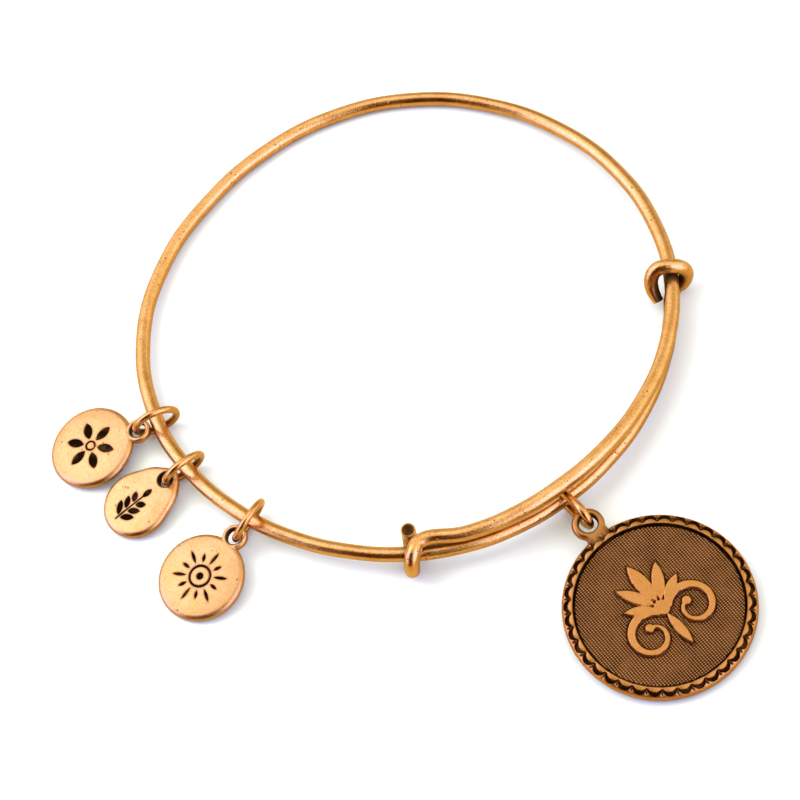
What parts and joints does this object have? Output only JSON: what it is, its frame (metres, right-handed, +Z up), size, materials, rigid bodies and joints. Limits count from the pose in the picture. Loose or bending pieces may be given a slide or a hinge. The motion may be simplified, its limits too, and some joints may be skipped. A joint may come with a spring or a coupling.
{
  "type": "expandable wire charm bangle",
  "caption": "Expandable round-wire bangle whose ends wrap as sliding loops, with a round palmette medallion and small engraved charms hung on rings.",
  "frame": {"origin": "middle of the ring of wire, on the surface that the bangle lies on", "axes": "+Z up, along the axis of the ring; -Y towards the side where the wire ends in its second loop and the medallion lies; +X towards the first loop"},
  "size_m": [0.0816, 0.0933, 0.0063],
  "materials": {
    "wire": "satin antique gold plate",
    "medallion": "dark antique bronze with a polished rim and ornament",
    "charms": "satin antique gold plate with darkened engraving",
    "rings": "polished antique gold plate"
  },
  "bodies": {
    "root": {"bangle_wire": "wire", "medallion": "medallion", "medallion_link": "rings", "flower_charm": "charms", "flower_charm_ring": "rings", "leaf_charm": "charms", "leaf_charm_ring": "rings", "sun_charm": "charms", "sun_charm_ring": "rings"}
  },
  "joints": []
}
